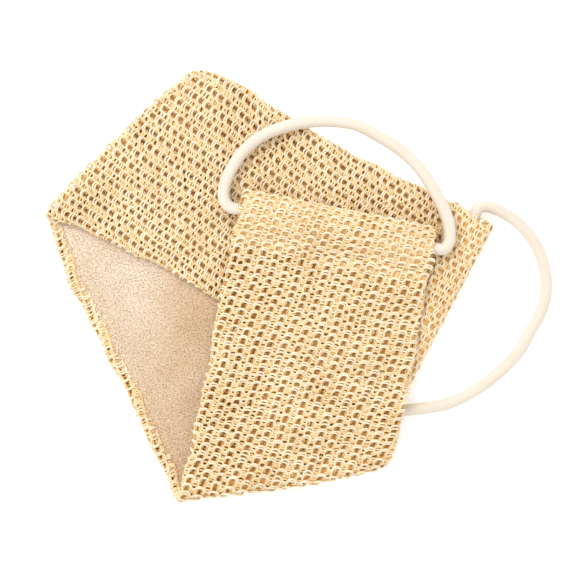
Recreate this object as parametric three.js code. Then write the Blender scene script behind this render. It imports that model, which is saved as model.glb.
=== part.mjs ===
// A back-scrubbing strap: coarse knitted fibre on one face, cotton terry on the other, and a cord loop
// through the hem at each end. It lies folded twice, so that both ends come over the middle of the strap:
// the under layer is at the bottom, the rear panel turns over its upper left end, and the front panel turns
// over its lower end and lies on top of both.
// Millimetres, +Z up. The origin is the middle of the folded strap's outline, on the surface it lies on.
import * as THREE from 'three';

// Strap
const WIDTH = 104;
const THICKNESS = 5.5;
const KNIT_THICKNESS = 3.4;
const TERRY_THICKNESS = 1.8;
const EDGE_WIDTH = 4.7;
const GAP = 0.3;

// How the strap is folded
const UNDER_ANGLE = 115.5;
const FOLD_SKEW = 18.4;
const UNDER_LENGTH = 205.5;
const FRONT_LENGTH = 150.5;
const REAR_LENGTH = 199.5;
const BOTTOM_FOLD_MIDDLE = new THREE.Vector2(8.16, -108.29);
const BOTTOM_FOLD_RADIUS = 6.5;
const SIDE_FOLD_RADIUS = 3.25;
const UNDER_MID_HEIGHT = THICKNESS / 2;

// Hems and loops
const HEM_LENGTH = 24;
const HEM_WALL = 1.2;
const HEM_BULGE_REACH = 9.5;
const SEAM_LENGTH = 0.8;
const TUNNEL_FROM_END = 12;
const TUNNEL_RADIUS = 3.5;
const CORD_DIAMETER = 6.4;
const SPLICE_LENGTH = 24;

// Facets
const FOLD_STEPS = 6;
const CORD_SIDES = 10;
const CORD_STEPS = 70;
const TUNNEL_SIDES = 16;

const degrees = THREE.MathUtils.degToRad;
const lerp = THREE.MathUtils.lerp;

const materials = {
  knit: new THREE.MeshStandardMaterial({ color: 0xe4c89a, roughness: 0.9, metalness: 0 }),
  terry: new THREE.MeshStandardMaterial({ color: 0xecd3b4, roughness: 0.95, metalness: 0 }),
  cord: new THREE.MeshStandardMaterial({ color: 0xf6eadb, roughness: 0.6, metalness: 0 }),
  thread: new THREE.MeshStandardMaterial({ color: 0xefd9ae, roughness: 0.8, metalness: 0 }),
};

const scrubber = new THREE.Group();

function add(parent, name, geometry, material) {
  const mesh = new THREE.Mesh(geometry, materials[material].clone());
  mesh.name = name;
  parent.add(mesh);
}

// --- The strap's own coordinates -------------------------------------------------------------------
// a runs along the unfolded strap from the bottom fold, v across it, and n through it from the middle of
// its thickness towards the knitted face. Beyond each fold line the flat strap is rolled round a half
// turn and carried back over itself, which keeps every length.

function directionAt(angle) {
  return new THREE.Vector2(Math.cos(degrees(angle)), Math.sin(degrees(angle)));
}

const along = directionAt(UNDER_ANGLE);
const across = directionAt(UNDER_ANGLE + 90);

function makeFold(outward, radius, start) {
  return { outward, radius, start, reach: radius + THICKNESS / 2 };
}

const bottomFold = makeFold(directionAt(UNDER_ANGLE - 180 - FOLD_SKEW), BOTTOM_FOLD_RADIUS, 0);
const sideFold = makeFold(directionAt(UNDER_ANGLE + FOLD_SKEW), SIDE_FOLD_RADIUS, UNDER_LENGTH);

// How far a point of the flat strap lies past the line where a fold begins, and the a that lies so far.
function pastFold(fold, a, v) {
  return (a - fold.start) * along.dot(fold.outward) + v * across.dot(fold.outward) + fold.reach;
}

function alongAt(fold, past, v) {
  return fold.start + (past - fold.reach - v * across.dot(fold.outward)) / along.dot(fold.outward);
}

function strapPoint(a, v, n) {
  const flat = BOTTOM_FOLD_MIDDLE.clone().addScaledVector(along, a).addScaledVector(across, v);
  const fold = a < UNDER_LENGTH / 2 ? bottomFold : sideFold;
  const past = pastFold(fold, a, v);
  if (past <= 0) return new THREE.Vector3(flat.x, flat.y, UNDER_MID_HEIGHT - n);
  const turn = Math.min(past / fold.radius, Math.PI);
  const straight = past - turn * fold.radius;
  flat.addScaledVector(fold.outward, (fold.radius + n) * Math.sin(turn) - past - straight);
  return new THREE.Vector3(flat.x, flat.y, UNDER_MID_HEIGHT + fold.radius - (fold.radius + n) * Math.cos(turn));
}

// The ends of the strap: where each lies, and which way a runs from it back into the strap.
function endOf(fold, panelLength, inward) {
  const saved = (Math.PI * fold.radius - 2 * fold.reach) / Math.cos(degrees(FOLD_SKEW));
  return { a: fold.start - inward * (panelLength + saved), inward };
}

const frontEnd = endOf(bottomFold, FRONT_LENGTH, 1);
const rearEnd = endOf(sideFold, REAR_LENGTH, -1);

// --- Flat panels, edges and folds ------------------------------------------------------------------

const knitLayer = { low: THICKNESS / 2 - KNIT_THICKNESS, high: THICKNESS / 2 };
const terryLayer = { low: -THICKNESS / 2, high: -THICKNESS / 2 + TERRY_THICKNESS };
const halfWidth = WIDTH / 2;
const terryHalfWidth = halfWidth - EDGE_WIDTH - GAP;

// A slab of the strap between two curves a = from(v) and a = to(v).
function slab(from, to, vLow, vHigh, layer, place = (t, v) => lerp(from(v), to(v), t), steps = 1) {
  const geometry = new THREE.BoxGeometry(1, 1, 1, steps, 1, 1);
  const position = geometry.getAttribute('position');
  for (let i = 0; i < position.count; i++) {
    const v = lerp(vLow, vHigh, position.getY(i) + 0.5);
    const n = lerp(layer.high, layer.low, position.getZ(i) + 0.5);
    const point = strapPoint(place(position.getX(i) + 0.5, v), v, n);
    position.setXYZ(i, point.x, point.y, point.z);
  }
  return geometry;
}

function panel(body, name, from, to) {
  const edges = { left: [halfWidth - EDGE_WIDTH, halfWidth], right: [-halfWidth, -halfWidth + EDGE_WIDTH] };
  add(body, `${name}_knit`, slab(from, to, -halfWidth, halfWidth, knitLayer), 'knit');
  add(body, `${name}_terry`, slab(from, to, -terryHalfWidth, terryHalfWidth, terryLayer), 'terry');
  for (const [side, [low, high]] of Object.entries(edges)) {
    add(body, `${name}_${side}_edge`, slab(from, to, low, high, terryLayer), 'knit');
  }
}

// One quarter turn of a fold, from turn = first to turn = last, in both layers of the strap.
function quarterFold(body, name, fold, first, last) {
  const start = first * fold.radius + GAP / 2;
  const end = last * fold.radius - GAP / 2;
  const place = (t, v) => alongAt(fold, lerp(start, end, fold === bottomFold ? 1 - t : t), v);
  for (const [cloth, layer] of [['knit', knitLayer], ['terry', terryLayer]]) {
    const geometry = slab(null, null, -halfWidth, halfWidth, layer, place, FOLD_STEPS);
    add(body, `${name.replace('CLOTH', cloth)}`, geometry, cloth);
  }
}

const beforeFold = (fold) => (v) => alongAt(fold, -GAP / 2, v);
const afterFold = (fold) => (v) => alongAt(fold, Math.PI * fold.radius + GAP / 2, v);
const hemStart = (end) => () => end.a + end.inward * (HEM_LENGTH + SEAM_LENGTH + 2 * GAP);

// --- Hems ------------------------------------------------------------------------------------------
// The strap's end is turned in on itself and sewn across, and the loop's cord runs through the sleeve
// that this makes. The sleeve is flush with the strap on the face it lies against and swells on the other.

function hemGeometry(end, swell) {
  const flat = -swell * THICKNESS / 2;
  const rise = (height) => flat + swell * height;
  const tunnelHeight = HEM_WALL + TUNNEL_RADIUS;
  const crown = TUNNEL_RADIUS * 2 + HEM_WALL * 2;
  const outline = new THREE.Shape();
  outline.moveTo(HEM_LENGTH, rise(0));
  outline.lineTo(2, rise(0));
  outline.quadraticCurveTo(0, rise(0), 0, rise(2));
  outline.lineTo(0, rise(THICKNESS - 1));
  outline.quadraticCurveTo(1.5, rise(crown), TUNNEL_FROM_END, rise(crown));
  outline.quadraticCurveTo(TUNNEL_FROM_END + HEM_BULGE_REACH, rise(crown), HEM_LENGTH, rise(THICKNESS));
  const tunnel = new THREE.Path();
  tunnel.absarc(TUNNEL_FROM_END, rise(tunnelHeight), TUNNEL_RADIUS, 0, 2 * Math.PI, false);
  outline.holes.push(tunnel);
  const geometry = new THREE.ExtrudeGeometry(outline, {
    depth: WIDTH, steps: 1, bevelEnabled: false, curveSegments: TUNNEL_SIDES / 2,
  });
  const position = geometry.getAttribute('position');
  for (let i = 0; i < position.count; i++) {
    const v = end.inward * (position.getZ(i) - halfWidth);
    const point = strapPoint(end.a + end.inward * position.getX(i), v, position.getY(i));
    position.setXYZ(i, point.x, point.y, point.z);
  }
  return geometry;
}

function hem(body, name, end, swell) {
  add(body, `${name}_hem`, hemGeometry(end, swell), 'knit');
  const near = end.a + end.inward * (HEM_LENGTH + GAP);
  const far = near + end.inward * SEAM_LENGTH;
  const low = Math.min(near, far);
  const high = Math.max(near, far);
  const layer = { low: terryLayer.low, high: knitLayer.high };
  add(body, `${name}_hem_seam`, slab(() => low, () => high, -halfWidth, halfWidth, layer), 'thread');
}

// --- Loops -----------------------------------------------------------------------------------------

function tunnelPoint(end, swell, v) {
  const height = HEM_WALL + TUNNEL_RADIUS - THICKNESS / 2;
  return strapPoint(end.a + end.inward * TUNNEL_FROM_END, v, swell * height);
}

function rod(from, to) {
  const length = from.distanceTo(to);
  const geometry = new THREE.CylinderGeometry(CORD_DIAMETER / 2, CORD_DIAMETER / 2, length, CORD_SIDES);
  const direction = to.clone().sub(from).normalize();
  const turn = new THREE.Quaternion().setFromUnitVectors(new THREE.Vector3(0, 1, 0), direction);
  return geometry.applyQuaternion(turn).translate(...from.clone().add(to).multiplyScalar(0.5).toArray());
}

function cordGeometry(route) {
  const section = new THREE.Shape();
  for (let side = 0; side < CORD_SIDES; side++) {
    const turn = (2 * Math.PI * side) / CORD_SIDES;
    const step = [CORD_DIAMETER / 2 * Math.cos(turn), CORD_DIAMETER / 2 * Math.sin(turn)];
    if (side === 0) section.moveTo(...step);
    else section.lineTo(...step);
  }
  const extrudePath = new THREE.CatmullRomCurve3(route.map((point) => new THREE.Vector3(...point)));
  return new THREE.ExtrudeGeometry(section, { steps: CORD_STEPS, bevelEnabled: false, extrudePath });
}

// The cord's ends lie in the hem's tunnel, whipped together by a splice, so that the loop is a ring.
function loop(body, name, end, swell, route) {
  const reach = halfWidth - GAP;
  const splice = SPLICE_LENGTH / 2;
  const runs = { end_a: [splice + GAP, reach], end_b: [-reach, -splice - GAP], splice: [-splice, splice] };
  for (const [part, [from, to]] of Object.entries(runs)) {
    const geometry = rod(tunnelPoint(end, swell, from), tunnelPoint(end, swell, to));
    add(body, `${name}_${part}`, geometry, part === 'splice' ? 'thread' : 'cord');
  }
  add(body, `${name}_cord`, cordGeometry(route), 'cord');
}

// The front loop lies on the rear panel and reaches past its upper edge.
const frontLoopRoute = [
  [-15.1, 37.8, 17.7], [-18.4, 38.4, 17.7], [-21.4, 40.8, 17.3], [-22.7, 45.0, 16.6], [-22.1, 50.6, 16.0],
  [-19.9, 56.4, 15.7], [-16.8, 61.9, 15.5], [-12.2, 68.2, 15.5], [-3.6, 75.4, 15.5], [7.3, 80.2, 15.4],
  [19.8, 83.1, 15.1], [33.0, 83.8, 14.9], [46.4, 81.8, 14.8], [58.2, 75.9, 14.8], [69.2, 68.9, 14.9],
  [78.6, 60.2, 15.1], [85.3, 50.4, 15.4], [90.4, 41.2, 15.5], [93.8, 33.0, 15.8], [94.9, 26.4, 16.3],
  [94.6, 21.2, 16.9], [92.7, 17.7, 17.4], [90.1, 16.8, 17.7], [86.9, 17.4, 17.7],
];

// The rear loop comes down onto the surface that the strap lies on, and passes under the front panel.
const rearLoopRoute = [
  [109.4, 35.7, 7.3], [110.9, 38.6, 7.3], [113.9, 39.8, 6.8], [118.7, 39.2, 5.9], [124.8, 36.6, 4.8],
  [131.4, 32.3, 4.0], [137.7, 26.2, 3.5], [142.8, 18.4, 3.3], [146.1, 9.6, 3.3], [147.5, 0.2, 3.3],
  [147.0, -9.0, 3.3], [144.0, -17.4, 3.3], [139.4, -25.8, 3.3], [133.9, -35.7, 3.3], [126.0, -44.8, 3.3],
  [116.1, -53.3, 3.3], [105.5, -60.0, 3.3], [94.9, -64.7, 3.4], [84.6, -66.6, 3.7], [76.0, -67.6, 4.4],
  [68.4, -67.9, 5.5], [62.8, -66.6, 6.5], [59.9, -63.4, 7.0], [59.6, -59.4, 7.3], [61.1, -56.4, 7.3],
];

// --- Assembly --------------------------------------------------------------------------------------

const bodies = {};
for (const name of ['under', 'front', 'front_loop', 'rear', 'rear_loop']) {
  bodies[name] = new THREE.Group();
  scrubber.add(bodies[name]);
}

panel(bodies.under, 'under', beforeFold(bottomFold), beforeFold(sideFold));
quarterFold(bodies.under, 'bottom_fold_CLOTH_lower', bottomFold, 0, Math.PI / 2);
quarterFold(bodies.under, 'side_fold_CLOTH_lower', sideFold, 0, Math.PI / 2);

panel(bodies.front, 'front', hemStart(frontEnd), afterFold(bottomFold));
quarterFold(bodies.front, 'bottom_fold_CLOTH_upper', bottomFold, Math.PI / 2, Math.PI);
hem(bodies.front, 'front', frontEnd, 1);
loop(bodies.front_loop, 'front_loop', frontEnd, 1, frontLoopRoute);

panel(bodies.rear, 'rear', afterFold(sideFold), hemStart(rearEnd));
quarterFold(bodies.rear, 'side_fold_CLOTH_upper', sideFold, Math.PI / 2, Math.PI);
hem(bodies.rear, 'rear', rearEnd, -1);
loop(bodies.rear_loop, 'rear_loop', rearEnd, -1, rearLoopRoute);

export default scrubber;
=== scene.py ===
import math

import bpy
import numpy as np
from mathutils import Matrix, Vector


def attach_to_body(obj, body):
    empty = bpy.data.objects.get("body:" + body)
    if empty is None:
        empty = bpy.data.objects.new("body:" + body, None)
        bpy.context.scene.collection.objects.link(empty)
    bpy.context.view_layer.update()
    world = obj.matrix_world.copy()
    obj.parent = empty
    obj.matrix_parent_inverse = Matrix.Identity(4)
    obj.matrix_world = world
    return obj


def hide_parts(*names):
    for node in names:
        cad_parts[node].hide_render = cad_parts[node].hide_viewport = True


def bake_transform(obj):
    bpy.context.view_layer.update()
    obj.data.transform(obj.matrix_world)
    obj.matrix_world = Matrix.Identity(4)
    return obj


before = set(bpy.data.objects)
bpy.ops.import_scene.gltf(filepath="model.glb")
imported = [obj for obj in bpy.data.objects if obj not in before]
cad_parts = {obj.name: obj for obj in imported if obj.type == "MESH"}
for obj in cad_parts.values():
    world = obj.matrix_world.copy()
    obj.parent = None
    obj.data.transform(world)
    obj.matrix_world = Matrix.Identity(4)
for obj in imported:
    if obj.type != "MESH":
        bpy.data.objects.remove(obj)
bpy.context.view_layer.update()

# Lengths are in millimetres until a mesh is made, in the frame of the CAD model.
MM = 0.001
rng = np.random.default_rng(12)

# The strap and how it is folded, as in the CAD model
WIDTH = 104.0
THICKNESS = 5.5
UNDER_ANGLE = 115.5
FOLD_SKEW = 18.4
UNDER_LENGTH = 205.5
FRONT_LENGTH = 150.5
REAR_LENGTH = 199.5
BOTTOM_FOLD_MIDDLE = (8.16, -108.29)
BOTTOM_FOLD_RADIUS = 6.5
SIDE_FOLD_RADIUS = 3.25
UNDER_MID_HEIGHT = THICKNESS / 2
HEM_LENGTH = 24.0
CORD_DIAMETER = 6.4

# The knit's loops: WALE apart across the strap, COURSE apart along it
WALE = 6.9
COURSE = 4.5
WALE_SLANT = 0.17
LOOP_HALF_HEIGHT = 3.3
LOOP_SWELL = 0.95
HEAD_SWELL = 0.30
STEPS_PER_LOOP = 18

# The knit's yarn
YARN_RADIUS = 0.52
YARN_SIDES = 8
PLY_RELIEF = 0.14
PLY_TURN = 4.6
# Painted shade round each yarn: its sides and underside are painted darker and its top lighter, by
# SIDE_SHADE about SIDE_SHADE_MIDDLE.
SIDE_SHADE = 0.42
SIDE_SHADE_MIDDLE = 0.75
UV_LENGTH = 20.0
UV_SHIFT_PER_ROW = 13.7

# How uneven the knit is, as the spread of each loop's height, place, side shift, depth, width and colour
HEIGHT_SPREAD = 0.26
PLACE_SPREAD = 0.2
SIDE_SPREAD = 0.24
DEPTH_SPREAD = 0.14
WIDTH_SPREAD = 0.09
TONE_SPREAD = 0.07

# Where the knit lies in the strap's thickness, and how its side edges turn over onto the terry
KNIT_MIDDLE = 1.05
EDGE_FLAT = 50.0
EDGE_TURN_RADIUS = 1.5
TURNED_EDGE = 4.0
TURNED_EDGE_PROUD = 0.7
TURNED_EDGE_PRESSED = 0.7
HEM_REACH = 51.5
NEVER_TURNS = 1000.0

# Broad bands of painted shade on the terry, darkest at BAND_PLACE, where the terry lies near the front
# panel's edge
BAND_DIRECTION = (0.978, -0.209, 0.0)
BAND_SPACING = 110.0
BAND_PLACE = -31.0

# Camera, lamp and floor
VIEW_CENTRE = (11.86, -4.29, 12.0)
VIEW_WIDTH = 303.7
LENS = 85.0
SENSOR = 36.0
LAMP_PLACE = (-0.5, 0.6, 1.1)
LAMP_SIZE = 0.9
LAMP_ENERGY = 8.0
FLOOR_SIZE = 6
FLOOR_GLOW = 0.3


# --- Materials -------------------------------------------------------------------------------------

def new_material(name, roughness):
    material = bpy.data.materials.new(name)
    material.use_nodes = True
    shader = material.node_tree.nodes["Principled BSDF"]
    shader.inputs["Roughness"].default_value = roughness
    shader.inputs["Specular IOR Level"].default_value = 0.25
    return material, material.node_tree, shader


def node(tree, kind, **values):
    made = tree.nodes.new(kind)
    for key, value in values.items():
        if key in made.inputs:
            made.inputs[key].default_value = value
        else:
            setattr(made, key, value)
    return made


def ramp(tree, factor, stops):
    made = tree.nodes.new("ShaderNodeValToRGB")
    elements = made.color_ramp.elements
    while len(elements) < len(stops):
        elements.new(0.5)
    for element, (place, colour) in zip(elements, stops):
        element.position = place
        element.color = (*colour, 1)
    tree.links.new(factor, made.inputs["Fac"])
    return made.outputs["Color"]


def blend_colours(tree, factor, first, second, mode="MIX"):
    made = tree.nodes.new("ShaderNodeMix")
    made.data_type = "RGBA"
    made.blend_type = mode
    if isinstance(factor, float):
        made.inputs[0].default_value = factor
    else:
        tree.links.new(factor, made.inputs[0])
    for socket, value in ((made.inputs[6], first), (made.inputs[7], second)):
        if isinstance(value, tuple):
            socket.default_value = (*value, 1)
        else:
            tree.links.new(value, socket)
    return made.outputs[2]


def bump(tree, shader, height, strength, distance):
    made = node(tree, "ShaderNodeBump", Strength=strength, Distance=distance)
    tree.links.new(height, made.inputs["Height"])
    tree.links.new(made.outputs["Normal"], shader.inputs["Normal"])


def noise(tree, vector, scale, detail=3.0, roughness=0.5):
    made = node(tree, "ShaderNodeTexNoise", Scale=scale, Detail=detail, Roughness=roughness)
    tree.links.new(vector, made.inputs["Vector"])
    return made.outputs["Fac"]


def object_place(tree):
    return tree.nodes.new("ShaderNodeTexCoord").outputs["Object"]


def yarn_place(tree, along, around):
    """The yarn's own coordinates, stretched: they run along the yarn and round it, with its twist."""
    uv = node(tree, "ShaderNodeUVMap", uv_map="yarn")
    scaled = node(tree, "ShaderNodeVectorMath", operation="MULTIPLY")
    scaled.inputs[1].default_value = (along, around, 1)
    tree.links.new(uv.outputs["UV"], scaled.inputs[0])
    return scaled.outputs["Vector"]


def make_yarn_material(name, low, middle, high):
    """Plant-fibre yarn, streaked, with painted shade: golden where it dives into the knit, cream where it
    arches out.
    """
    material, tree, shader = new_material(name, 0.5)
    shader.inputs["Specular IOR Level"].default_value = 0.4
    # Painted shade and light: the attribute read here paints the yarn golden where it lies deep in the knit
    # and on its lower sides, and cream on its raised heads.
    depth = tree.nodes.new("ShaderNodeAttribute")
    depth.attribute_name = "rise"
    base = ramp(tree, depth.outputs["Fac"], ((0.0, low), (0.5, middle), (0.95, high)))
    streaks = noise(tree, yarn_place(tree, 3.6, 2.2), 3.0, 4.0, 0.75)
    streak_colour = ramp(tree, streaks, (
        (0.36, (0.60, 0.38, 0.15)), (0.46, (0.92, 0.82, 0.62)), (0.55, (1, 1, 1))))
    streaked = blend_colours(tree, 0.75, base, streak_colour, "MULTIPLY")
    patches = noise(tree, object_place(tree), 55.0, 2.0)
    patch_colour = ramp(tree, patches, ((0.35, (0.88, 0.82, 0.72)), (0.62, (1, 1, 1))))
    mixed = blend_colours(tree, 0.6, streaked, patch_colour, "MULTIPLY")
    tree.links.new(mixed, shader.inputs["Base Color"])
    bump(tree, shader, streaks, 0.6, 0.0003)
    shader.inputs["Sheen Weight"].default_value = 0.15
    shader.inputs["Sheen Roughness"].default_value = 0.5
    return material


def painted_shade_bands(tree, place):
    """Painted shade on the terry, in broad bands: 0 in the darkest bands, as at BAND_PLACE, and 1 between
    them.
    """
    across = node(tree, "ShaderNodeVectorMath", operation="DOT_PRODUCT")
    tree.links.new(place, across.inputs[0])
    across.inputs[1].default_value = [2 * math.pi / (BAND_SPACING * MM) * part for part in BAND_DIRECTION]
    phase = node(tree, "ShaderNodeMath", operation="SUBTRACT")
    tree.links.new(across.outputs["Value"], phase.inputs[0])
    phase.inputs[1].default_value = 2 * math.pi * BAND_PLACE / BAND_SPACING
    wave = node(tree, "ShaderNodeMath", operation="COSINE")
    tree.links.new(phase.outputs[0], wave.inputs[0])
    amount = node(tree, "ShaderNodeMath", operation="MULTIPLY_ADD")
    tree.links.new(wave.outputs[0], amount.inputs[0])
    amount.inputs[1].default_value = -0.5
    amount.inputs[2].default_value = 0.5
    return amount.outputs[0]


def make_terry_material():
    """Beige cotton pile: a speckled grain, with soft patches and broad bands of painted shade over it."""
    material, tree, shader = new_material("terry_cloth", 0.95)
    place = object_place(tree)
    pile = noise(tree, place, 1150.0, 2.0, 0.7)
    patches = noise(tree, place, 70.0, 3.0, 0.6)
    nap = noise(tree, place, 17.0, 1.0)
    grain_colour = ramp(tree, pile, (
        (0.34, (0.52, 0.36, 0.24)), (0.5, (0.84, 0.70, 0.55)), (0.66, (0.97, 0.88, 0.76))))
    patch_colour = ramp(tree, patches, ((0.3, (0.90, 0.86, 0.80)), (0.7, (1, 1, 1))))
    nap_colour = ramp(tree, nap, ((0.38, (0.92, 0.88, 0.83)), (0.6, (0.99, 0.99, 0.99))))
    # Painted shade: broad darker, warmer bands over the terry, one of them beside the front panel's edge.
    shade_band_colour = ramp(tree, painted_shade_bands(tree, place), ((0.0, (0.90, 0.81, 0.70)), (0.6, (1, 1, 1))))
    shaded = blend_colours(tree, 1.0, grain_colour, patch_colour, "MULTIPLY")
    nap_and_shade = blend_colours(tree, 1.0, nap_colour, shade_band_colour, "MULTIPLY")
    tree.links.new(blend_colours(tree, 1.0, shaded, nap_and_shade, "MULTIPLY"), shader.inputs["Base Color"])
    bump(tree, shader, pile, 0.8, 0.0006)
    shader.inputs["Sheen Weight"].default_value = 0.3
    return material


def make_ground_material(name, low, high):
    """A woven ground cloth, seen in shadow through the knit's holes."""
    material, tree, shader = new_material(name, 0.9)
    place = object_place(tree)
    weave = noise(tree, place, 900.0, 2.0, 0.6)
    colour = ramp(tree, weave, ((0.35, low), (0.65, high)))
    patches = ramp(tree, noise(tree, place, 28.0, 2.0), ((0.40, (0.55, 0.40, 0.26)), (0.58, (1, 1, 1))))
    tree.links.new(blend_colours(tree, 1.0, colour, patches, "MULTIPLY"), shader.inputs["Base Color"])
    bump(tree, shader, weave, 0.6, 0.0004)
    return material


def make_cord_material():
    """Cream, finely woven sheath, a little uneven along the cord."""
    material, tree, shader = new_material("cord_sheath", 0.55)
    place = yarn_place(tree, 1.0, 1.0)
    fibres = noise(tree, yarn_place(tree, 60.0, 40.0), 1.0, 3.0, 0.6)
    patches = noise(tree, place, 1.2, 2.0)
    colour = ramp(tree, fibres, ((0.32, (0.66, 0.55, 0.44)), (0.56, (0.85, 0.78, 0.68))))
    tint = ramp(tree, patches, ((0.35, (0.96, 0.94, 0.90)), (0.65, (1, 1, 1))))
    tree.links.new(blend_colours(tree, 1.0, colour, tint, "MULTIPLY"), shader.inputs["Base Color"])
    bump(tree, shader, fibres, 0.35, 0.0002)
    shader.inputs["Sheen Weight"].default_value = 0.2
    return material


yarn_material = make_yarn_material(
    "knitted_yarn", (0.76, 0.46, 0.16), (0.96, 0.77, 0.46), (1.0, 0.90, 0.72))
thread_material = make_yarn_material(
    "sewing_thread", (0.72, 0.55, 0.30), (0.92, 0.78, 0.50), (0.98, 0.88, 0.64))
terry_material = make_terry_material()
# The ground cloth's golden brown is its own colour, darkened further as painted shade for the knit's holes.
ground_material = make_ground_material("ground_cloth", (0.66, 0.35, 0.10), (0.90, 0.60, 0.25))
lining_material = make_ground_material("hem_lining", (0.80, 0.54, 0.24), (0.97, 0.76, 0.44))
cord_material = make_cord_material()


# --- Camera, light and floor -----------------------------------------------------------------------

def make_stage():
    """A camera straight above, soft light from all sides, one large lamp and a glowing white floor."""
    scene = bpy.context.scene
    scene.view_settings.view_transform = "Standard"
    camera = bpy.data.objects.new("camera", bpy.data.cameras.new("camera"))
    camera.data.lens = LENS
    camera.data.sensor_width = SENSOR
    distance = VIEW_WIDTH * LENS / SENSOR
    camera.location = Vector((VIEW_CENTRE[0], VIEW_CENTRE[1], VIEW_CENTRE[2] + distance)) * MM
    scene.collection.objects.link(camera)
    scene.camera = camera

    world = bpy.data.worlds.new("soft_room")
    world.use_nodes = True
    world.node_tree.nodes["Background"].inputs["Color"].default_value = (1, 1, 1, 1)
    world.node_tree.nodes["Background"].inputs["Strength"].default_value = 1.0
    scene.world = world

    lamp = bpy.data.objects.new("soft_box", bpy.data.lights.new("soft_box", "AREA"))
    lamp.data.shape = "DISK"
    lamp.data.size = LAMP_SIZE
    lamp.data.energy = LAMP_ENERGY
    lamp.location = LAMP_PLACE
    lamp.rotation_euler = (-lamp.location).to_track_quat("-Z", "Y").to_euler()
    scene.collection.objects.link(lamp)

    bpy.ops.mesh.primitive_plane_add(size=FLOOR_SIZE, location=(0, 0, 0))
    floor = bpy.context.object
    floor.name = "floor"
    material, tree, shader = new_material("pale_floor", 0.9)
    shader.inputs["Base Color"].default_value = (0.9, 0.9, 0.9, 1)
    shader.inputs["Specular IOR Level"].default_value = 0.0
    shader.inputs["Emission Color"].default_value = (1, 1, 1, 1)
    shader.inputs["Emission Strength"].default_value = FLOOR_GLOW
    floor.data.materials.append(material)


make_stage()


# --- Meshes ----------------------------------------------------------------------------------------

def make_mesh(name, points, faces, material, uv=None, rise=None):
    """A piece from points in millimetres, with yarn coordinates and a tone for each point of a yarn, which
    holds the knit's painted shade and light.
    """
    mesh = bpy.data.meshes.new(name)
    mesh.from_pydata((np.asarray(points) * MM).tolist(), [], faces)
    mesh.polygons.foreach_set("use_smooth", np.ones(len(mesh.polygons), bool))
    if uv is not None:
        corners = np.empty(len(mesh.loops), np.int32)
        mesh.loops.foreach_get("vertex_index", corners)
        layer = mesh.uv_layers.new(name="yarn")
        layer.data.foreach_set("uv", np.asarray(uv, np.float32)[corners].ravel())
    if rise is not None:
        attribute = mesh.attributes.new("rise", "FLOAT", "POINT")
        attribute.data.foreach_set("value", np.asarray(rise, np.float32))
    mesh.materials.append(material)
    made = bpy.data.objects.new(name, mesh)
    bpy.context.scene.collection.objects.link(made)
    return made


def grid_faces(rows, columns):
    """The four-sided faces of a grid of points stored row by row."""
    index = np.arange(rows * columns).reshape(rows, columns)
    corners = index[:-1, :-1], index[:-1, 1:], index[1:, 1:], index[1:, :-1]
    return np.stack(corners, axis=-1).reshape(-1, 4).tolist()


def smooth_path(points, per_span):
    """A smooth line through the points, with per_span steps between each two."""
    points = np.asarray(points, float)
    padded = np.vstack([2 * points[0] - points[1], points, 2 * points[-1] - points[-2]])
    t = (np.arange(per_span) / per_span)[:, None]
    spans = []
    for i in range(len(points) - 1):
        p0, p1, p2, p3 = padded[i:i + 4]
        spans.append(0.5 * (2 * p1 + (p2 - p0) * t + (2 * p0 - 5 * p1 + 4 * p2 - p3) * t ** 2
                            + (3 * p1 - p0 - 3 * p2 + p3) * t ** 3))
    return np.vstack([*spans, points[-1:]])


def unit(vectors):
    return vectors / np.maximum(np.linalg.norm(vectors, axis=-1, keepdims=True), 1e-9)


def square_to(tangent, up):
    """The direction nearest to up that is square to the tangent."""
    return unit(up - tangent * np.sum(up * tangent, axis=1, keepdims=True))


def path_length(path):
    return np.concatenate([[0], np.cumsum(np.linalg.norm(np.diff(path, axis=0), axis=1))])


def corner_angles(sides):
    return 2 * math.pi * np.arange(sides) / sides


def ring_points(path, normal, side, reach, angle):
    """Rings of points round a path, at reach from it and at each angle from normal towards side."""
    return (path[:, None] + normal[:, None] * (reach * np.cos(angle))[..., None]
            + side[:, None] * (reach * np.sin(angle))[..., None])


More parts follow.
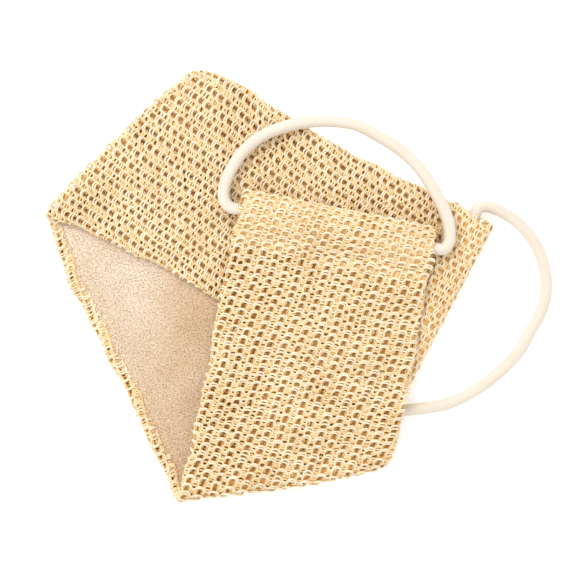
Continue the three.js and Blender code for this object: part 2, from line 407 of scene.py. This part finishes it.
class Tubes:
    """Collects tubes into one mesh."""

    def __init__(self):
        self.points, self.faces, self.uv, self.rise = [], [], [], []
        self.count = 0

    def add(self, path, up, radius, sides, twist=0.0, lobes=0.0, rise=0.5, start=0.0):
        """A closed tube along path. up is the direction that its section's first corner leans to."""
        s = path_length(path) + start
        tangent = unit(np.gradient(path, axis=0))
        normal = square_to(tangent, np.broadcast_to(np.asarray(up, float), path.shape))
        angle = corner_angles(sides)
        turned = angle - twist * s[:, None]
        reach = radius * (1 + lobes * np.cos(2 * turned))
        rings = ring_points(path, normal, np.cross(tangent, normal), reach, angle)
        self.add_rings(rings, s, turned, np.full(s.shape, rise))

    def add_rings(self, rings, s, turned, shade_tones):
        """A closed tube through rings of points, with each ring's place along it and each point's angle."""
        count, sides = rings.shape[:2]
        index = self.count + np.arange(count * sides).reshape(count, sides)
        following = np.roll(index, -1, axis=1)
        sheath = np.stack([index[:-1], following[:-1], following[1:], index[1:]], axis=-1)
        self.faces.extend(sheath.reshape(-1, 4).tolist())
        turned = np.broadcast_to(turned, (count, sides))
        uv = np.stack([np.repeat(s / UV_LENGTH, sides), turned.ravel() / (2 * math.pi)], axis=-1)
        point_shade_tones = np.broadcast_to(shade_tones.reshape(count, -1), (count, sides))
        self.add_points(rings.reshape(-1, 3), uv, point_shade_tones.ravel())
        for end, edge in ((0, index[0][::-1]), (-1, index[-1])):
            centre = self.count
            middle = rings[end].mean(axis=0)
            self.add_points(middle[None], np.zeros((1, 2)), np.atleast_1d(np.mean(shade_tones[end])))
            self.faces.extend([a, b, centre] for a, b in zip(edge.tolist(), np.roll(edge, -1).tolist()))

    def add_points(self, points, uv, rise):
        self.points.append(points)
        self.uv.append(uv)
        self.rise.append(rise)
        self.count += len(points)

    def make(self, name, material, slot):
        return make_mesh(name, np.vstack(self.points), self.faces, material,
                         np.vstack(self.uv), np.concatenate(self.rise))


# --- Cord loops ------------------------------------------------------------------------------------

FRONT_LOOP_ROUTE = [
    (-15.1, 37.8, 17.7), (-18.4, 38.4, 17.7), (-21.4, 40.8, 17.3), (-22.7, 45.0, 16.6), (-22.1, 50.6, 16.0),
    (-19.9, 56.4, 15.7), (-16.8, 61.9, 15.5), (-12.2, 68.2, 15.5), (-3.6, 75.4, 15.5), (7.3, 80.2, 15.4),
    (19.8, 83.1, 15.1), (33.0, 83.8, 14.9), (46.4, 81.8, 14.8), (58.2, 75.9, 14.8), (69.2, 68.9, 14.9),
    (78.6, 60.2, 15.1), (85.3, 50.4, 15.4), (90.4, 41.2, 15.5), (93.8, 33.0, 15.8), (94.9, 26.4, 16.3),
    (94.6, 21.2, 16.9), (92.7, 17.7, 17.4), (90.1, 16.8, 17.7), (86.9, 17.4, 17.7),
]
REAR_LOOP_ROUTE = [
    (109.4, 35.7, 7.3), (110.9, 38.6, 7.3), (113.9, 39.8, 6.8), (118.7, 39.2, 5.9), (124.8, 36.6, 4.8),
    (131.4, 32.3, 4.0), (137.7, 26.2, 3.5), (142.8, 18.4, 3.3), (146.1, 9.6, 3.3), (147.5, 0.2, 3.3),
    (147.0, -9.0, 3.3), (144.0, -17.4, 3.3), (139.4, -25.8, 3.3), (133.9, -35.7, 3.3), (126.0, -44.8, 3.3),
    (116.1, -53.3, 3.3), (105.5, -60.0, 3.3), (94.9, -64.7, 3.4), (84.6, -66.6, 3.7), (76.0, -67.6, 4.4),
    (68.4, -67.9, 5.5), (62.8, -66.6, 6.5), (59.9, -63.4, 7.0), (59.6, -59.4, 7.3), (61.1, -56.4, 7.3),
]
CORD_SIDES = 28
CORD_STEPS = 22
SHEATH_RELIEF = 0.05
SHEATH_RIBS = 7
SHEATH_TURN = 3.1
UP = np.array((0.0, 0.0, 1.0))


def make_cord(body, route):
    """The free cord of a loop, with the fine diagonal ribs of its woven sheath."""
    path = smooth_path(route, CORD_STEPS)
    s = path_length(path)
    tangent = unit(np.gradient(path, axis=0))
    side = unit(np.cross(tangent, UP))
    normal = np.cross(side, tangent)
    angle = corner_angles(CORD_SIDES)
    round_it, along_it = SHEATH_RIBS * angle[None], SHEATH_TURN * s[:, None]
    ribs = np.cos(round_it - along_it) * np.cos(round_it + along_it)
    reach = CORD_DIAMETER / 2 - SHEATH_RELIEF + SHEATH_RELIEF * ribs
    cord = Tubes()
    cord.add_rings(ring_points(path, normal, side, reach, angle), s, angle[None], np.full(len(s), 0.5))
    made = cord.make(body, cord_material, "cord")
    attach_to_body(made, body)
    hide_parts(f"{body}_cord")


TUNNEL_STEPS = 40
TUNNEL_PLAY = 0.02
WHIPPING_TURNS = 18
WHIPPING_STEPS = 16
WHIPPING_SIDES = 5
WHIPPING_LENGTH = 20.0
WHIPPING_RADIUS = 3.3
WHIPPING_THREAD = 0.35


def make_tunnel_run(body, route):
    """The stretch of a loop inside its hem, with the thread whipping that closes the ring."""
    first, last = np.array(route[0]), np.array(route[-1])
    cord = Tubes()
    cord.add(np.linspace(first, last, TUNNEL_STEPS), UP, CORD_DIAMETER / 2 - TUNNEL_PLAY, CORD_SIDES)
    run = cord.make(f"{body}_inner", cord_material, "cord")

    turns = np.linspace(0, 2 * math.pi * WHIPPING_TURNS, WHIPPING_TURNS * WHIPPING_STEPS)
    axis = unit(last - first)
    side = np.cross(axis, UP)
    along = axis * ((turns / turns[-1] - 0.5) * WHIPPING_LENGTH)[:, None]
    around = (side * np.cos(turns)[:, None] + UP * np.sin(turns)[:, None]) * WHIPPING_RADIUS
    whipping = Tubes()
    whipping.add((first + last) / 2 + along + around, axis, WHIPPING_THREAD, WHIPPING_SIDES)
    thread = whipping.make(f"{body}_inner_whipping", thread_material, "thread")

    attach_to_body(run, body)
    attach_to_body(thread, body)
    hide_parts(f"{body}_end_a", f"{body}_end_b", f"{body}_splice")


make_cord("front_loop", FRONT_LOOP_ROUTE)
make_cord("rear_loop", REAR_LOOP_ROUTE)
make_tunnel_run("front_loop", FRONT_LOOP_ROUTE)
make_tunnel_run("rear_loop", REAR_LOOP_ROUTE)


# --- The strap's own coordinates -------------------------------------------------------------------
# a runs along the unfolded strap from the bottom fold, v across it, and n through it from the middle of
# its thickness towards the knitted face, as in the CAD model.

def direction_at(angle):
    return np.array((math.cos(math.radians(angle)), math.sin(math.radians(angle))))


ALONG = direction_at(UNDER_ANGLE)
ACROSS = direction_at(UNDER_ANGLE + 90)


class Fold:
    """A half turn of the strap. It begins across the strap, askew, near a = start."""

    def __init__(self, outward_angle, radius, start):
        self.outward = direction_at(outward_angle)
        self.radius, self.start, self.reach = radius, start, radius + THICKNESS / 2
        self.band = math.pi * radius

    def past(self, a, v):
        """How far a point of the flat strap lies past the line where the fold begins."""
        return (a - self.start) * ALONG.dot(self.outward) + v * ACROSS.dot(self.outward) + self.reach

    def along_at(self, past, v):
        """The a of a point at v that lies this far past the line where the fold begins."""
        return self.start + (past - self.reach - v * ACROSS.dot(self.outward)) / ALONG.dot(self.outward)


bottom_fold = Fold(UNDER_ANGLE - 180 - FOLD_SKEW, BOTTOM_FOLD_RADIUS, 0.0)
side_fold = Fold(UNDER_ANGLE + FOLD_SKEW, SIDE_FOLD_RADIUS, UNDER_LENGTH)


def end_of(fold, panel_length, inward):
    """The a of the strap's end, where the panel beyond a fold is panel_length long as it lies folded."""
    saved = (math.pi * fold.radius - 2 * fold.reach) / math.cos(math.radians(FOLD_SKEW))
    return fold.start - inward * (panel_length + saved)


FRONT_END = end_of(bottom_fold, FRONT_LENGTH, 1)
REAR_END = end_of(side_fold, REAR_LENGTH, -1)


# Where the strap's edges bow: on which side, the middle and spread of the bow along the strap, and how far
# the edge leans out there.
EDGE_BOWS = (
    (1, 60, 60, 2.2), (1, 150, 36, 3.6), (1, 245, 45, -2.4),
    (-1, 252, 22, 3.2), (-1, 326, 28, -2.4), (-1, -52, 26, 2.6),
)
# Where the folds are drawn in: towards which side edge, how sharply, how far, and how far from the fold.
BOTTOM_FOLD_SLACK = (-1, 2, 4.6, 30.0)
SIDE_FOLD_SLACK = (1, 4, 2.6, 22.0)
SIDE_FOLD_CORNER = (-1, 4, 2.6, 14.0)
BOTTOM_FOLD_LEAN = 1.3
BOTTOM_FOLD_LEAN_SPREAD = 30.0
LEAST_FOLD_REACH = 0.25
LOWEST_POINT = 0.12


def pulled_in(v, from_fold, slack):
    """How far a fold is drawn in towards one of its ends, where the cloth there isn't pulled straight."""
    side, power, depth, spread = slack
    return depth * np.clip(side * v / (WIDTH / 2), 0, 1) ** power * np.exp(-(from_fold / spread) ** 2)


def wavered(a, v):
    """v, moved a little where the strap's edges waver and bow, as those of knitted cloth do."""
    edge = v / (WIDTH / 2)
    v = v + edge * (0.5 * np.sin(a / 17.0 + 1.0) + 0.4 * np.sin(a / 7.3)
                    + 0.35 * np.sin(a / 3.9 + 2 * edge))
    for side, middle, spread, amount in EDGE_BOWS:
        v = v + side * amount * np.clip(side * edge, 0, 1.1) ** 2 * np.exp(-((a - middle) / spread) ** 2)
    return v


def strap_point(a, v, n):
    """Points of the folded strap, in millimetres."""
    a, v, n = np.broadcast_arrays(np.asarray(a, float), np.asarray(v, float), np.asarray(n, float))
    v = wavered(a, v)
    flat = np.array(BOTTOM_FOLD_MIDDLE) + a[..., None] * ALONG + v[..., None] * ACROSS
    at_bottom = a < UNDER_LENGTH / 2
    past = np.where(at_bottom, bottom_fold.past(a, v), side_fold.past(a, v))
    radius = np.where(at_bottom, bottom_fold.radius, side_fold.radius)
    outward = np.where(at_bottom[..., None], bottom_fold.outward, side_fold.outward)
    turn = np.clip(past / radius, 0, math.pi)
    straight = past - turn * radius
    reach = np.maximum(radius + n, LEAST_FOLD_REACH)
    shift = np.where(past > 0, reach * np.sin(turn) - past - straight, 0)
    from_bottom, from_side = past - bottom_fold.band / 2, past - side_fold.band / 2
    leaning = BOTTOM_FOLD_LEAN * np.exp(-(from_bottom / BOTTOM_FOLD_LEAN_SPREAD) ** 2)
    drawn = np.where(
        at_bottom,
        pulled_in(v, from_bottom, BOTTOM_FOLD_SLACK) - leaning,
        pulled_in(v, from_side, SIDE_FOLD_SLACK) + pulled_in(v, from_side, SIDE_FOLD_CORNER))
    plan = flat + outward * (shift - drawn)[..., None]
    turned = UNDER_MID_HEIGHT + radius - reach * np.cos(turn)
    return np.concatenate([plan, np.maximum(turned, LOWEST_POINT)[..., None]], axis=-1)


# --- Knit ------------------------------------------------------------------------------------------
# l runs along the knitted cloth and q across it. They are a and v on the flat of a panel, and go on along
# the cloth where it turns round a hem or a side edge.
#
# Each hem profile is the middle line of the knitted layer: distance from the end, n, and how much of
# its full depth the knit keeps there. It swells over the cord, rounds the end and comes back beneath.

FRONT_HEM_PROFILE = [
    (30, 1.05, 1.0), (25, 0.75, 0.85), (20.5, 2.7, 0.75), (16.5, 5.1, 0.7), (12, 6.2, 0.7), (8, 5.7, 0.7),
    (4.5, 4.1, 0.65), (2.2, 2.1, 0.6), (1.3, 0, 0.45), (2.0, -1.7, 0.4), (5, -2.4, 0.3), (12, -2.5, 0.3),
    (24, -2.4, 0.3),
]
REAR_HEM_PROFILE = [
    (30, 1.05, 1.0), (25, 0.75, 0.8), (20, 1.5, 0.7), (12, 2.3, 0.6), (5, 2.1, 0.6), (2.0, 1.2, 0.5),
    (1.1, -1.0, 0.5), (2.0, -3.6, 0.5), (6, -5.8, 0.45), (12, -6.3, 0.4), (18, -5, 0.45), (24, -2.5, 0.4),
]
PROFILE_START = 30.0
PROFILE_STEPS = 12
HEM_OVERLAP = 0.5


class HemProfile:
    """Lays the cloth near one end of the strap along its hem's profile."""

    def __init__(self, profile, end, inward):
        line = smooth_path(profile, PROFILE_STEPS)
        self.end, self.inward = end, inward
        self.s, self.n, self.depth = line.T
        self.arc = path_length(line[:, :2])
        heading = unit(np.gradient(line[:, :2], axis=0))
        self.normal_s, self.normal_n = heading[:, 1], -heading[:, 0]
        self.length = self.arc[-1]

    def beyond(self, l):
        """How far along the profile a point l of the cloth lies, or below 0 on the panel."""
        return PROFILE_START - self.inward * (l - self.end)

    def lay(self, l, a, n, normal_a, normal_n, depth):
        """Sets place, direction out of the cloth and depth, for the points that lie on the profile."""
        beyond = self.beyond(l)
        here = beyond > 0
        for target, values in ((n, self.n), (normal_n, self.normal_n), (depth, self.depth)):
            target[here] = np.interp(beyond[here], self.arc, values)
        a[here] = self.end + self.inward * np.interp(beyond[here], self.arc, self.s)
        normal_a[here] = self.inward * np.interp(beyond[here], self.arc, self.normal_s)


front_profile = HemProfile(FRONT_HEM_PROFILE, FRONT_END, 1)
rear_profile = HemProfile(REAR_HEM_PROFILE, REAR_END, -1)


def in_hem(l):
    start = PROFILE_START - HEM_LENGTH - HEM_OVERLAP
    return (front_profile.beyond(l) > start) | (rear_profile.beyond(l) > start)


def knit_place(l, q, height):
    """Strap coordinates of points l along and q across the knitted cloth, at height above its middle."""
    a = np.array(l, float)
    n = np.full(a.shape, KNIT_MIDDLE)
    normal_a, normal_n, depth = np.zeros(a.shape), np.ones(a.shape), np.ones(a.shape)
    for profile in (front_profile, rear_profile):
        profile.lay(l, a, n, normal_a, normal_n, depth)
    edge = np.where(in_hem(l), NEVER_TURNS, EDGE_FLAT)
    beyond = np.abs(q) - edge
    turn = np.clip(beyond / EDGE_TURN_RADIUS, 0, math.pi)
    turned_over = turn / math.pi
    flat = np.maximum(beyond - math.pi * EDGE_TURN_RADIUS, 0)
    height = height * depth * (1 - TURNED_EDGE_PRESSED * turned_over)
    reach = EDGE_TURN_RADIUS + height
    v = np.sign(q) * (edge + np.minimum(beyond, 0) + reach * np.sin(turn) - flat)
    lift = reach * np.cos(turn) - EDGE_TURN_RADIUS - TURNED_EDGE_PROUD * turned_over
    return a + normal_a * lift, v, n + normal_n * lift


SEGMENTS = ("front_hem", "front", "bottom_fold", "under", "side_fold", "rear", "rear_hem")


def segment_of(l, a, v):
    """Which stretch of the strap each point belongs to, as an index into SEGMENTS."""
    past_bottom, past_side = bottom_fold.past(a, v), side_fold.past(a, v)
    segment = np.full(a.shape, SEGMENTS.index("under"))
    low = a < UNDER_LENGTH / 2
    segment[low & (past_bottom > 0)] = SEGMENTS.index("bottom_fold")
    segment[low & (past_bottom > bottom_fold.band)] = SEGMENTS.index("front")
    segment[~low & (past_side > 0)] = SEGMENTS.index("side_fold")
    segment[~low & (past_side > side_fold.band)] = SEGMENTS.index("rear")
    segment[low & in_hem(l)] = SEGMENTS.index("front_hem")
    segment[~low & in_hem(l)] = SEGMENTS.index("rear_hem")
    return segment


def wander(t, spread):
    """Random values for the half loops between the first and the last t, joined up along t."""
    first, last = math.floor(t[0] / math.pi), math.ceil(t[-1] / math.pi)
    return np.interp(t / math.pi, np.arange(first, last + 1), rng.normal(0, spread, last - first + 1))


def course_waves(q, l):
    """How far a course strays along the strap."""
    return 0.7 * np.sin(q / 13.0 + l / 31.0) + 0.5 * np.sin(q / 8.0 - l / 19.0)


def rib_waves(q, l, reach):
    """How far the ribs stray across the strap, and not at all at its edges."""
    return 0.7 * np.sin(l / 11.0 + q / 23.0) * (1 - (q / reach) ** 2)


class Strand:
    """One strand of each course.

    offset is its place across the ribs, and shift its place along the strap. middle is its height in the
    knit, to which heads adds at its loops' heads and arcs at every turn. swell widens it at the heads.
    The tone arguments set how light it is painted, in the same way: lower for strands that lie deep in the
    knit and higher where heads and arcs raise it, as painted shade and light.
    """

    def __init__(self, offset, shift, middle, heads, arcs, swell, rise, rise_heads, shade_tone_arcs):
        self.offset, self.shift = offset, shift
        self.middle, self.heads, self.arcs, self.swell = middle, heads, arcs, swell
        self.rise, self.rise_heads, self.shade_tone_arcs = rise, rise_heads, shade_tone_arcs


# The back strands' low tones are painted shade for their place deep in the knit.
STRANDS = (
    Strand(offset=0.0, shift=-0.5, middle=0.22, heads=0.42, arcs=0.44, swell=0.0,
           rise=0.78, rise_heads=0.16, shade_tone_arcs=0.14),
    Strand(offset=0.0, shift=0.5, middle=-0.18, heads=0.40, arcs=0.44, swell=0.0,
           rise=0.60, rise_heads=0.16, shade_tone_arcs=0.18),
    Strand(offset=0.5, shift=0.9, middle=-1.2, heads=0.80, arcs=0.0, swell=0.30,
           rise=0.26, rise_heads=0.12, shade_tone_arcs=0.0),
    Strand(offset=0.5, shift=2.5, middle=-1.2, heads=0.70, arcs=0.0, swell=0.30,
           rise=0.18, rise_heads=0.12, shade_tone_arcs=0.0),
)
NUDGE = 0.2
YARN_FLOOR = 0.05


def row_reach(l_row):
    """How far a course reaches from the strap's middle: flat in a hem, else round the turned edge."""
    if in_hem(l_row + np.array((-COURSE, COURSE))).any():
        return HEM_REACH
    return EDGE_FLAT + math.pi * EDGE_TURN_RADIUS + TURNED_EDGE


def row_turns(strand, reach, drift):
    """The angle t at each step of a yarn from end to end. A loop is a full turn, with its head at 0."""
    first_loop = (-reach - drift) / WALE - strand.offset
    last_loop = (reach - drift) / WALE - strand.offset
    steps = np.arange(math.ceil(first_loop * STEPS_PER_LOOP), math.floor(last_loop * STEPS_PER_LOOP) + 1)
    return 2 * math.pi * steps / STEPS_PER_LOOP


def knit_row(segments, strand, row, l_row, middle):
    """One yarn across the strap, its loops drawn through the row before."""
    reach = row_reach(l_row)
    drift = WALE_SLANT * (l_row - middle)
    t = row_turns(strand, reach, drift)
    heads, arcs = np.cos(t), np.cos(2 * t)

    rib = WALE * (t / (2 * math.pi) + strand.offset)
    l = (l_row - (LOOP_HALF_HEIGHT + wander(t, HEIGHT_SPREAD)) * heads + wander(t, PLACE_SPREAD)
         + course_waves(rib + drift, l_row))
    q = (rib + LOOP_SWELL * np.sin(2 * t) + HEAD_SWELL * np.sin(t) + WALE_SLANT * (l - middle)
         + wander(t, SIDE_SPREAD) + rib_waves(rib + drift, l_row, reach))
    height = strand.middle + strand.heads * heads + strand.arcs * arcs + wander(t, DEPTH_SPREAD)

    a, v, n = knit_place(l, q, height)
    path = strap_point(a, v, n)
    above = strap_point(*knit_place(l, q, height + NUDGE))
    below = strap_point(*knit_place(l, q, height - NUDGE))
    tangent = unit(np.gradient(path, axis=0))
    normal = square_to(tangent, unit(above - below))

    s = path_length(path)
    angle = corner_angles(YARN_SIDES)
    turned = angle[None] - (2 * math.pi / PLY_TURN) * s[:, None]
    radius = YARN_RADIUS * (1 + strand.swell * heads + wander(t, WIDTH_SPREAD))
    yarn_reach = radius[:, None] * (1 + PLY_RELIEF * np.cos(2 * turned))
    rings = ring_points(path, normal, np.cross(tangent, normal), yarn_reach, angle)
    rings[..., 2] = np.maximum(rings[..., 2], YARN_FLOOR)

    # Painted shade and light: each point's tone is lower where the yarn lies deep in the knit, higher at
    # its raised heads, randomly uneven, and lower on the yarn's sides and underside.
    rise = strand.rise + strand.rise_heads * heads + strand.shade_tone_arcs * arcs + wander(t, TONE_SPREAD)
    shade_tones = rise[:, None] + SIDE_SHADE * (np.cos(angle)[None] - SIDE_SHADE_MIDDLE)

    segment = segment_of(l, a, v)
    cuts = [0, *(np.flatnonzero(np.diff(segment)) + 1), len(segment)]
    for start, stop in zip(cuts[:-1], cuts[1:]):
        run = slice(start, min(stop + 1, len(segment)))
        if len(s[run]) > 1:
            tubes = segments[SEGMENTS[segment[start]]]
            tubes.add_rings(rings[run], s[run] + UV_SHIFT_PER_ROW * row, turned[run], shade_tones[run])


def knit_rows(segments):
    """Knits the strap course by course: two strands on its face, over two that show between their loops."""
    first = FRONT_END + PROFILE_START - front_profile.length
    last = REAR_END - PROFILE_START + rear_profile.length
    for row in range(int((last - first) / COURSE)):
        for strand in STRANDS:
            l_row = first + COURSE * (row + 0.5 + strand.offset) + strand.shift
            knit_row(segments, strand, row, l_row, (first + last) / 2)


knit = {name: Tubes() for name in SEGMENTS}
knit_rows(knit)

RIDES = {"front_hem": "front", "front": "front", "under": "under", "rear": "rear", "rear_hem": "rear"}
KNIT_NODES = {
    "front_hem": ["front_hem"],
    "front": ["front_knit", "front_left_edge", "front_right_edge"],
    "bottom_fold": ["bottom_fold_knit_lower", "bottom_fold_knit_upper"],
    "under": ["under_knit", "under_left_edge", "under_right_edge"],
    "side_fold": ["side_fold_knit_lower", "side_fold_knit_upper"],
    "rear": ["rear_knit", "rear_left_edge", "rear_right_edge"],
    "rear_hem": ["rear_hem"],
}
# The two bodies that each fold joins, and the heights between which it bends from one to the other
FOLD_JOINTS = {
    "bottom_fold": ("under", "front", bottom_fold, (THICKNESS + 0.1, 12.2)),
    "side_fold": ("under", "rear", side_fold, (THICKNESS + 0.1, 6.4)),
}


def attach(piece, segment):
    """Rides the piece on its panel's body, or, where it is part of a fold, bakes its place into its mesh.
    """
    if segment in RIDES:
        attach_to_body(piece, RIDES[segment])
        return
    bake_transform(piece)


LINING_HEIGHT = -1.0
LINING_REACH = 31.0
LINING_HALF_WIDTH = 50.5
LINING_STEP = 1.5
LINING_COLUMNS = 40


def make_hem_lining(name, profile, material):
    """The hem's inner layer of cloth, wrapped round the cord's tunnel under the knit."""
    beyond = np.arange(PROFILE_START - LINING_REACH, profile.length, LINING_STEP)
    l, q = np.meshgrid(profile.end + profile.inward * (PROFILE_START - beyond),
                       np.linspace(-LINING_HALF_WIDTH, LINING_HALF_WIDTH, LINING_COLUMNS), indexing="ij")
    points = strap_point(*knit_place(l, q, np.full(l.shape, LINING_HEIGHT))).reshape(-1, 3)
    lining = make_mesh(f"{name}_hem_lining", points, grid_faces(*l.shape), material)
    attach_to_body(lining, name)


make_hem_lining("front", front_profile, lining_material)
make_hem_lining("rear", rear_profile, ground_material)

for segment_name, tubes in knit.items():
    piece = tubes.make(f"{segment_name}_knit_yarn", yarn_material, "knit")
    attach(piece, segment_name)
    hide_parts(*KNIT_NODES[segment_name])


# --- Terry and its ground cloth --------------------------------------------------------------------

TERRY_HALF_WIDTH = 48.5
TERRY_IN_HEM = 1.0
TERRY_FACE = -2.15
PILE_HEIGHT = 0.5
PILE_ROWS = 0.25
PILE_STEP = 0.8
GROUND_FACE = -0.95
FOLD_GROUND_FACE = -0.2
GROUND_MARGIN = 1.0
GROUND_STEP = 3.0
LEAST_SPANS = 6


def sheet_grid(start, stop, half_width, step, n_of):
    """Points, faces and flat area of a sheet between the lines a = start(v) and a = stop(v)."""
    length = abs(stop(0.0) - start(0.0))
    rows, columns = max(int(length / step), LEAST_SPANS) + 1, int(2 * half_width / step) + 1
    v = np.linspace(-half_width, half_width, columns)[None]
    t = np.linspace(0, 1, rows)[:, None]
    a = start(v) * (1 - t) + stop(v) * t
    v = np.broadcast_to(v, a.shape)
    points = strap_point(a, v, n_of(a, v)).reshape(-1, 3)
    return points, grid_faces(rows, columns), length * 2 * half_width


def pile(a, v):
    """The terry's looped pile: rows of little tufts of uneven height."""
    rows = 0.5 + 0.5 * np.cos(2 * math.pi * a / (2 * PILE_STEP))
    return TERRY_FACE - PILE_HEIGHT * (PILE_ROWS * rows + (1 - PILE_ROWS) * rng.random(a.shape))


def constant(value):
    return lambda v: value + 0 * np.asarray(v, float)


def line_at(fold, past):
    return lambda v: fold.along_at(past, v)


TERRY_SPANS = {
    "front": (constant(FRONT_END + HEM_LENGTH - TERRY_IN_HEM), line_at(bottom_fold, bottom_fold.band)),
    "bottom_fold": (line_at(bottom_fold, bottom_fold.band), line_at(bottom_fold, 0.0)),
    "under": (line_at(bottom_fold, 0.0), line_at(side_fold, 0.0)),
    "side_fold": (line_at(side_fold, 0.0), line_at(side_fold, side_fold.band)),
    "rear": (line_at(side_fold, side_fold.band), constant(REAR_END - HEM_LENGTH + TERRY_IN_HEM)),
}
TERRY_NODES = {
    "front": ["front_terry"],
    "bottom_fold": ["bottom_fold_terry_lower", "bottom_fold_terry_upper"],
    "under": ["under_terry"],
    "side_fold": ["side_fold_terry_lower", "side_fold_terry_upper"],
    "rear": ["rear_terry"],
}


def make_terry(segment):
    """The terry on one stretch of the strap, and the ground cloth between it and the knit."""
    start, stop = TERRY_SPANS[segment]
    points, faces, area = sheet_grid(start, stop, TERRY_HALF_WIDTH, PILE_STEP, pile)
    terry = make_mesh(f"{segment}_terry_pile", points, faces, terry_material)
    attach(terry, segment)
    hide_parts(*TERRY_NODES[segment])

    height, kept = GROUND_FACE, 1.0
    if segment in FOLD_JOINTS:
        fold = FOLD_JOINTS[segment][2]
        height, kept = FOLD_GROUND_FACE, (fold.radius + TERRY_FACE) / fold.radius
    ground_points, ground_faces, _ = sheet_grid(
        start, stop, TERRY_HALF_WIDTH + GROUND_MARGIN, GROUND_STEP, lambda a, v: np.full(a.shape, height))
    ground = make_mesh(f"{segment}_ground_cloth", ground_points, ground_faces, ground_material)
    attach(ground, segment)


for segment_name in TERRY_SPANS:
    make_terry(segment_name)


# --- Sewing ----------------------------------------------------------------------------------------

THREAD_RADIUS = 0.5
THREAD_SIDES = 6
THREAD_TWIST = 1.4
THREAD_LOBES = 0.08
THREAD_TONE = 0.7
STITCH_STEPS = 9
STITCH_FULLNESS = 0.6
STITCH_LENGTH = 4.2
STITCH_GAP = 1.1
STITCH_SKEW = 0.25
SEAM_PAST_HEM = 0.6
SEAM_INSET = 2.0
SEAM_FACE = 0.4
SEAM_FACE_BULGE = 0.8
SEAM_BACK = -2.4
SEAM_BACK_BULGE = -0.7
SEAM_BACK_SHIFT = 1.0


def add_stitch(tubes, first, last, bulge, radius=THREAD_RADIUS):
    """One stitch between two places (a, v, n) of the strap, standing proud of it by bulge in n."""
    t = np.linspace(0, 1, STITCH_STEPS)[:, None]
    place = np.array(first) * (1 - t) + np.array(last) * t
    place[:, 2] += bulge * np.sin(math.pi * t[:, 0]) ** STITCH_FULLNESS
    path = strap_point(*place.T)
    lifted = strap_point(place[:, 0], place[:, 1], place[:, 2] + NUDGE) - path
    tubes.add(path, unit(lifted), radius, THREAD_SIDES, THREAD_TWIST, THREAD_LOBES, THREAD_TONE, first[0])


def make_seam(body, end, inward):
    """The row of stitches that closes a hem, on both faces of the strap."""
    seam = Tubes()
    a = end + inward * (HEM_LENGTH + SEAM_PAST_HEM)
    half = WIDTH / 2 - SEAM_INSET
    for v in np.arange(-half, half - STITCH_LENGTH, STITCH_LENGTH + STITCH_GAP):
        first_a, last_a = a + rng.normal(0, STITCH_SKEW, 2)
        add_stitch(seam, (first_a, v, SEAM_FACE), (last_a, v + STITCH_LENGTH, SEAM_FACE), SEAM_FACE_BULGE)
        add_stitch(seam, (last_a, v + SEAM_BACK_SHIFT, SEAM_BACK),
                   (first_a, v + STITCH_LENGTH + SEAM_BACK_SHIFT, SEAM_BACK), SEAM_BACK_BULGE)
    made = seam.make(f"{body}_hem_stitches", thread_material, "thread")
    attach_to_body(made, body)
    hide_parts(f"{body}_hem_seam")


make_seam("front", FRONT_END, 1)
make_seam("rear", REAR_END, -1)

# Where the edge sewing lies: v and n of the slanting stitches' two ends, and of the fine row beside them
SLANT_FIRST = (45.4, -2.7)
SLANT_LAST = (48.2, -3.1)
SLANT_START = 1.0
SLANT_LENGTH = 2.2
SLANT_BULGE = -0.6
SLANT_RADIUS = 0.4
SLANT_SKEW = 0.2
FINE_ROW = (41.6, -2.55)
FINE_START = 2.0
FINE_LENGTH = 2.1
FINE_SPACING = 3.0
FINE_BULGE = -0.35
FINE_RADIUS = 0.22
EDGE_SEWING_AT = 45.0
EDGE_SEWING_STOP = 3.0


def make_edge_sewing(segment):
    """Slanting stitches that hold the knit's turned edges down on the terry, and a fine row beside them."""
    sewing = Tubes()
    start, stop = TERRY_SPANS[segment]
    for side in (-1, 1):
        low = float(start(side * EDGE_SEWING_AT))
        high = float(stop(side * EDGE_SEWING_AT)) - EDGE_SEWING_STOP
        for a in np.arange(low + SLANT_START, high, COURSE):
            skew = rng.normal(0, SLANT_SKEW, 2)
            first = a, side * (SLANT_FIRST[0] + skew[0]), SLANT_FIRST[1]
            last = a + SLANT_LENGTH, side * (SLANT_LAST[0] + skew[1]), SLANT_LAST[1]
            add_stitch(sewing, first, last, SLANT_BULGE, SLANT_RADIUS)
        for a in np.arange(low + FINE_START, high, FINE_SPACING):
            first = a, side * FINE_ROW[0], FINE_ROW[1]
            last = a + FINE_LENGTH, side * FINE_ROW[0], FINE_ROW[1]
            add_stitch(sewing, first, last, FINE_BULGE, FINE_RADIUS)
    made = sewing.make(f"{segment}_edge_sewing", thread_material, "thread")
    attach(made, segment)


for segment_name in ("front", "under", "rear"):
    make_edge_sewing(segment_name)
